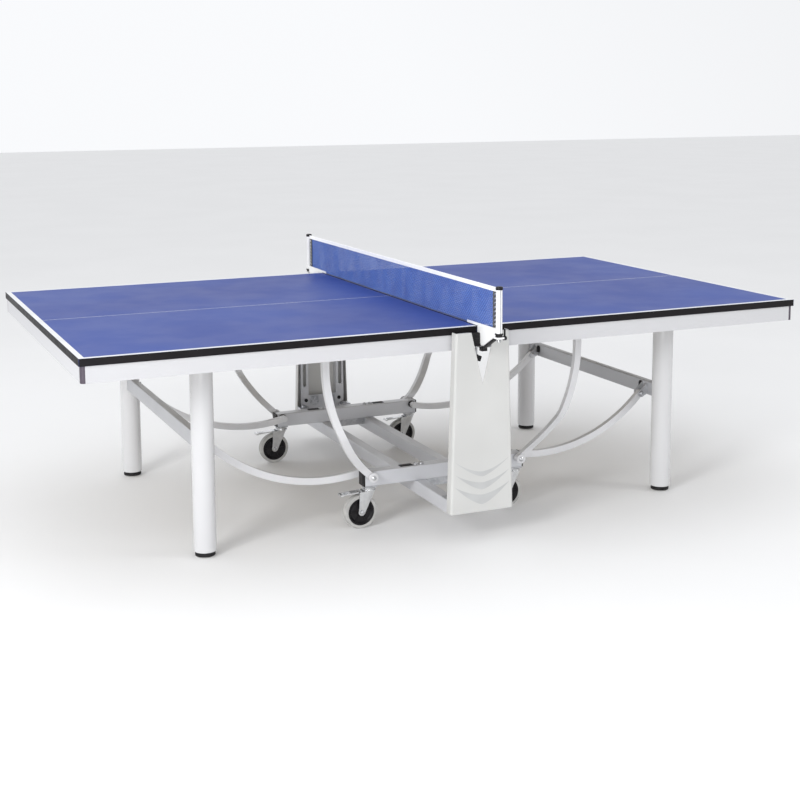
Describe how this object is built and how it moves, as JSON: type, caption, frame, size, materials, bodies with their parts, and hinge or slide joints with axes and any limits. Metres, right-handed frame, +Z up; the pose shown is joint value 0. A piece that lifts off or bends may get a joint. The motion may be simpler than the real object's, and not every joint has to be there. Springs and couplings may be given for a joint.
{
  "type": "table tennis table",
  "caption": "Folding table tennis table: two blue halves on a rolling chassis, curved fold struts, round legs, net and posts.",
  "frame": {"origin": "on the floor under the middle of the net", "axes": "+X along the table's length, +Y across it along the net, +Z up"},
  "size_m": [2.74, 1.856, 0.9125],
  "materials": {
    "board_blue": "matt blue table lacquer on wood board",
    "black_plastic": "moulded black plastic",
    "silver_powder": "satin silver powder coat",
    "chassis_silver": "silver grey powder coat",
    "cover_grey": "light grey powder coat",
    "strut_silver": "silver powder coat",
    "zinc": "bright zinc plate",
    "tread": "grey rubber tread on black hub",
    "net_blue": "knotted cotton net",
    "tape_white": "woven cotton tape",
    "post_white": "ribbed powder coat",
    "foot_black": "moulded rubber foot"
  },
  "bodies": {
    "chassis": {"chassis_fasteners": "zinc", "cross_tubes": "chassis_silver", "far_upright_cover": "cover_grey", "far_upright_frame": "chassis_silver", "mounting_plates": "zinc", "near_upright_cover": "cover_grey", "near_upright_frame": "chassis_silver", "net_brackets": "post_white", "net_clamps": "black_plastic", "net_mesh": "net_blue", "net_post_caps": "black_plastic", "net_posts": "post_white", "net_top_band": "tape_white", "plastic_plugs": "black_plastic", "side_rails": "chassis_silver"},
    "left_carriage": {"left_slide_blocks": "black_plastic"},
    "left_half": {"left_board": "board_blue", "left_edge_band": "black_plastic", "left_side_aprons": "silver_powder", "left_end_apron": "silver_powder", "left_inner_rail": "chassis_silver", "left_corner_caps": "black_plastic", "left_brackets": "zinc", "left_pivot_stubs": "zinc"},
    "left_legs": {"left_leg_tubes": "silver_powder", "left_leg_crossbeam": "chassis_silver"},
    "left_lift_strut_pair": {"left_lift_struts": "strut_silver"},
    "left_leg_strut_pair": {"left_leg_struts": "strut_silver"},
    "near_left_foot": {"near_left_foot": "foot_black"},
    "near_left_caster": {"near_left_caster_fork": "zinc"},
    "near_left_wheel": {"near_left_caster_wheel": "tread"},
    "near_left_pedal": {"near_left_caster_pedal": "zinc"},
    "far_left_foot": {"far_left_foot": "foot_black"},
    "far_left_caster": {"far_left_caster_fork": "zinc"},
    "far_left_wheel": {"far_left_caster_wheel": "tread"},
    "far_left_pedal": {"far_left_caster_pedal": "zinc"},
    "right_carriage": {"right_slide_blocks": "black_plastic"},
    "right_half": {"right_board": "board_blue", "right_edge_band": "black_plastic", "right_side_aprons": "silver_powder", "right_end_apron": "silver_powder", "right_inner_rail": "chassis_silver", "right_corner_caps": "black_plastic", "right_brackets": "zinc", "right_pivot_stubs": "zinc"},
    "right_legs": {"right_leg_tubes": "silver_powder", "right_leg_crossbeam": "chassis_silver"},
    "right_lift_strut_pair": {"right_lift_struts": "strut_silver"},
    "right_leg_strut_pair": {"right_leg_struts": "strut_silver"},
    "near_right_foot": {"near_right_foot": "foot_black"},
    "near_right_caster": {"near_right_caster_fork": "zinc"},
    "near_right_wheel": {"near_right_caster_wheel": "tread"},
    "near_right_pedal": {"near_right_caster_pedal": "zinc"},
    "far_right_foot": {"far_right_foot": "foot_black"},
    "far_right_caster": {"far_right_caster_fork": "zinc"},
    "far_right_wheel": {"far_right_caster_wheel": "tread"},
    "far_right_pedal": {"far_right_caster_pedal": "zinc"},
    "near_clamp_knob": {"near_clamp_knob": "black_plastic"},
    "far_clamp_knob": {"far_clamp_knob": "black_plastic"}
  },
  "joints": [
    {"name": "left_carriage_slide", "type": "slide", "parent": "chassis", "child": "left_carriage", "axis": [0, 0, -1], "range_m": [0, 0.428]},
    {"name": "left_half_fold", "type": "hinge", "parent": "left_carriage", "child": "left_half", "pos_m": [-0.085, 0, 0.725], "axis": [0, 1, 0], "range_deg": [0, 90]},
    {"name": "left_legs_fold", "type": "hinge", "parent": "left_half", "child": "left_legs", "pos_m": [-0.895, 0, 0.69], "axis": [0, 1, 0], "range_deg": [-86, 0]},
    {"name": "left_lift_strut_swing", "type": "hinge", "parent": "left_half", "child": "left_lift_strut_pair", "pos_m": [-0.49674, 0, 0.71], "axis": [0, 1, 0], "range_deg": [-48, 0]},
    {"name": "left_leg_strut_swing", "type": "hinge", "parent": "left_legs", "child": "left_leg_strut_pair", "pos_m": [-0.89, 0, 0.372], "axis": [0, 1, 0], "range_deg": [0, 84.5]},
    {"name": "near_left_foot_screw", "type": "slide", "parent": "left_legs", "child": "near_left_foot", "axis": [0, 0, -1], "range_m": [0, 0.015]},
    {"name": "near_left_caster_swivel", "type": "hinge", "parent": "chassis", "child": "near_left_caster", "pos_m": [-0.297, -0.482, 0.14], "axis": [0, 0, 1], "continuous": true},
    {"name": "near_left_wheel_spin", "type": "hinge", "parent": "near_left_caster", "child": "near_left_wheel", "pos_m": [-0.332, -0.482, 0.062], "axis": [0, 1, 0], "continuous": true},
    {"name": "near_left_brake_pedal", "type": "hinge", "parent": "near_left_caster", "child": "near_left_pedal", "pos_m": [-0.331, -0.482, 0.134], "axis": [0, -1, 0], "range_deg": [0, 8]},
    {"name": "far_left_foot_screw", "type": "slide", "parent": "left_legs", "child": "far_left_foot", "axis": [0, 0, -1], "range_m": [0, 0.015]},
    {"name": "far_left_caster_swivel", "type": "hinge", "parent": "chassis", "child": "far_left_caster", "pos_m": [-0.297, 0.482, 0.14], "axis": [0, 0, 1], "continuous": true},
    {"name": "far_left_wheel_spin", "type": "hinge", "parent": "far_left_caster", "child": "far_left_wheel", "pos_m": [-0.332, 0.482, 0.062], "axis": [0, 1, 0], "continuous": true},
    {"name": "far_left_brake_pedal", "type": "hinge", "parent": "far_left_caster", "child": "far_left_pedal", "pos_m": [-0.331, 0.482, 0.134], "axis": [0, -1, 0], "range_deg": [0, 8]},
    {"name": "right_carriage_slide", "type": "slide", "parent": "chassis", "child": "right_carriage", "axis": [0, 0, -1], "range_m": [0, 0.428]},
    {"name": "right_half_fold", "type": "hinge", "parent": "right_carriage", "child": "right_half", "pos_m": [0.085, 0, 0.725], "axis": [0, -1, 0], "range_deg": [0, 90]},
    {"name": "right_legs_fold", "type": "hinge", "parent": "right_half", "child": "right_legs", "pos_m": [0.895, 0, 0.69], "axis": [0, -1, 0], "range_deg": [-86, 0]},
    {"name": "right_lift_strut_swing", "type": "hinge", "parent": "right_half", "child": "right_lift_strut_pair", "pos_m": [0.49674, 0, 0.71], "axis": [0, -1, 0], "range_deg": [-48, 0]},
    {"name": "right_leg_strut_swing", "type": "hinge", "parent": "right_legs", "child": "right_leg_strut_pair", "pos_m": [0.89, 0, 0.372], "axis": [0, -1, 0], "range_deg": [0, 84.5]},
    {"name": "near_right_foot_screw", "type": "slide", "parent": "right_legs", "child": "near_right_foot", "axis": [0, 0, -1], "range_m": [0, 0.015]},
    {"name": "near_right_caster_swivel", "type": "hinge", "parent": "chassis", "child": "near_right_caster", "pos_m": [0.297, -0.482, 0.14], "axis": [0, 0, 1], "continuous": true},
    {"name": "near_right_wheel_spin", "type": "hinge", "parent": "near_right_caster", "child": "near_right_wheel", "pos_m": [0.262, -0.482, 0.062], "axis": [0, 1, 0], "continuous": true},
    {"name": "near_right_brake_pedal", "type": "hinge", "parent": "near_right_caster", "child": "near_right_pedal", "pos_m": [0.263, -0.482, 0.134], "axis": [0, -1, 0], "range_deg": [0, 8]},
    {"name": "far_right_foot_screw", "type": "slide", "parent": "right_legs", "child": "far_right_foot", "axis": [0, 0, -1], "range_m": [0, 0.015]},
    {"name": "far_right_caster_swivel", "type": "hinge", "parent": "chassis", "child": "far_right_caster", "pos_m": [0.297, 0.482, 0.14], "axis": [0, 0, 1], "continuous": true},
    {"name": "far_right_wheel_spin", "type": "hinge", "parent": "far_right_caster", "child": "far_right_wheel", "pos_m": [0.262, 0.482, 0.062], "axis": [0, 1, 0], "continuous": true},
    {"name": "far_right_brake_pedal", "type": "hinge", "parent": "far_right_caster", "child": "far_right_pedal", "pos_m": [0.263, 0.482, 0.134], "axis": [0, -1, 0], "range_deg": [0, 8]},
    {"name": "near_clamp_turn", "type": "hinge", "parent": "chassis", "child": "near_clamp_knob", "pos_m": [-0.016, -0.78, 0.67], "axis": [0, 0, 1], "continuous": true},
    {"name": "far_clamp_turn", "type": "hinge", "parent": "chassis", "child": "far_clamp_knob", "pos_m": [-0.016, 0.78, 0.67], "axis": [0, 0, 1], "continuous": true}
  ],
  "couplings": [
    {"joint": "left_carriage_slide", "follows": "left_half_fold", "m_per_rad": 0.27247},
    {"joint": "left_legs_fold", "follows": "left_half_fold", "ratio": -0.95228},
    {"joint": "left_lift_strut_swing", "follows": "left_half_fold", "ratio": -0.53134},
    {"joint": "left_leg_strut_swing", "follows": "left_half_fold", "ratio": 0.93527},
    {"joint": "right_carriage_slide", "follows": "right_half_fold", "m_per_rad": 0.27247},
    {"joint": "right_legs_fold", "follows": "right_half_fold", "ratio": -0.95228},
    {"joint": "right_lift_strut_swing", "follows": "right_half_fold", "ratio": -0.53134},
    {"joint": "right_leg_strut_swing", "follows": "right_half_fold", "ratio": 0.93527}
  ]
}
